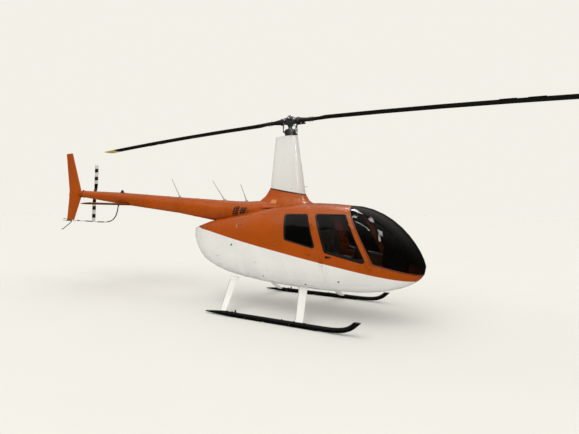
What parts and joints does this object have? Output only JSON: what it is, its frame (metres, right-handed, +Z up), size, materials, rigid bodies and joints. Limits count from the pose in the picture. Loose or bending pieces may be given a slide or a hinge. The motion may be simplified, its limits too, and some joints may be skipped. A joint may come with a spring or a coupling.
{
  "type": "helicopter",
  "caption": "Light cabin helicopter with doors on both sides, teetering main rotor on a faired mast, tail boom, tail rotor, fin and skid landing gear",
  "frame": {"origin": "on the ground, under the middle of the parked helicopter's box; the mast stands 0.853 m forward of it", "axes": "+X towards the nose, +Y to the port side, +Z up"},
  "size_m": [11.7518, 2.331, 3.48],
  "materials": {
    "body_paint": "gloss orange enamel",
    "white_paint": "gloss white enamel",
    "black_paint": "satin black enamel",
    "blade_paint": "matt black with painted bands",
    "head_metal": "dark anodised and painted forgings",
    "bare_metal": "bare stainless sheet",
    "cast_metal": "rough casting",
    "tinted_window": "dark tinted acrylic",
    "seat_leather": "grained leather with sewn channels",
    "interior_panel": "grey textured paint",
    "console_plastic": "matt black moulding",
    "red_lens": "clear red lens"
  },
  "bodies": {
    "airframe": {"cabin_shell": "body_paint", "windshield_left": "tinted_window", "windshield_right": "tinted_window", "windshield_bow": "black_paint", "cabin_floor": "interior_panel", "rear_bulkhead": "interior_panel", "firewall": "bare_metal", "gearbox_deck": "interior_panel", "front_seat_base": "interior_panel", "rear_seat_base": "interior_panel", "front_seat_left": "seat_leather", "front_seat_right": "seat_leather", "rear_seat": "seat_leather", "instrument_console": "console_plastic", "cyclic_stick": "black_paint", "main_gearbox": "cast_metal", "engine_block": "cast_metal", "exhaust_pipe": "bare_metal", "aft_cowl": "white_paint", "pylon_cowl": "body_paint", "mast_fairing": "white_paint", "mast_tube": "head_metal", "tail_boom": "body_paint", "vertical_fin": "body_paint", "stabilizer": "body_paint", "tail_guard": "white_paint", "tail_gearbox": "head_metal", "beacon": "red_lens", "skid_left": "black_paint", "skid_right": "black_paint", "leg_front_left": "white_paint", "leg_front_right": "white_paint", "leg_rear_left": "white_paint", "leg_rear_right": "white_paint"},
    "main_rotor": {"rotor_hub": "head_metal", "swashplate": "head_metal", "main_blade_1": "blade_paint", "main_blade_2": "blade_paint"},
    "tail_rotor": {"tail_rotor_hub": "head_metal", "tail_blade_1": "blade_paint", "tail_blade_2": "blade_paint"},
    "front_door_left": {"front_door_left": "body_paint", "front_window_left": "tinted_window"},
    "front_door_right": {"front_door_right": "body_paint", "front_window_right": "tinted_window"},
    "rear_door_left": {"rear_door_left": "body_paint", "rear_window_left": "tinted_window"},
    "rear_door_right": {"rear_door_right": "body_paint", "rear_window_right": "tinted_window"},
    "baggage_door": {"baggage_door": "white_paint"}
  },
  "joints": [
    {"name": "main_rotor_spin", "type": "hinge", "parent": "airframe", "child": "main_rotor", "pos_m": [0.853, 0, 3.368], "axis": [0, 0, 1], "continuous": true},
    {"name": "tail_rotor_spin", "type": "hinge", "parent": "airframe", "child": "tail_rotor", "pos_m": [-5.005, 0.359, 2.186], "axis": [0, 1, 0], "continuous": true},
    {"name": "front_door_left_hinge", "type": "hinge", "parent": "airframe", "child": "front_door_left", "pos_m": [2.34228, 0.69983, 0.9], "axis": [0.394, 0.0184, -0.9189], "range_deg": [0, 75]},
    {"name": "front_door_right_hinge", "type": "hinge", "parent": "airframe", "child": "front_door_right", "pos_m": [2.34228, -0.69983, 0.9], "axis": [-0.394, 0.0184, 0.9189], "range_deg": [0, 75]},
    {"name": "rear_door_left_hinge", "type": "hinge", "parent": "airframe", "child": "rear_door_left", "pos_m": [1.64852, 0.74895, 0.9], "axis": [0.2587, 0.0539, -0.9645], "range_deg": [0, 75]},
    {"name": "rear_door_right_hinge", "type": "hinge", "parent": "airframe", "child": "rear_door_right", "pos_m": [1.64852, -0.74895, 0.9], "axis": [-0.2587, 0.0539, 0.9645], "range_deg": [0, 75]},
    {"name": "baggage_door_hinge", "type": "hinge", "parent": "airframe", "child": "baggage_door", "pos_m": [0.788, 0.72434, 0.74], "axis": [0, -0.066, -0.9978], "range_deg": [0, 80]}
  ]
}
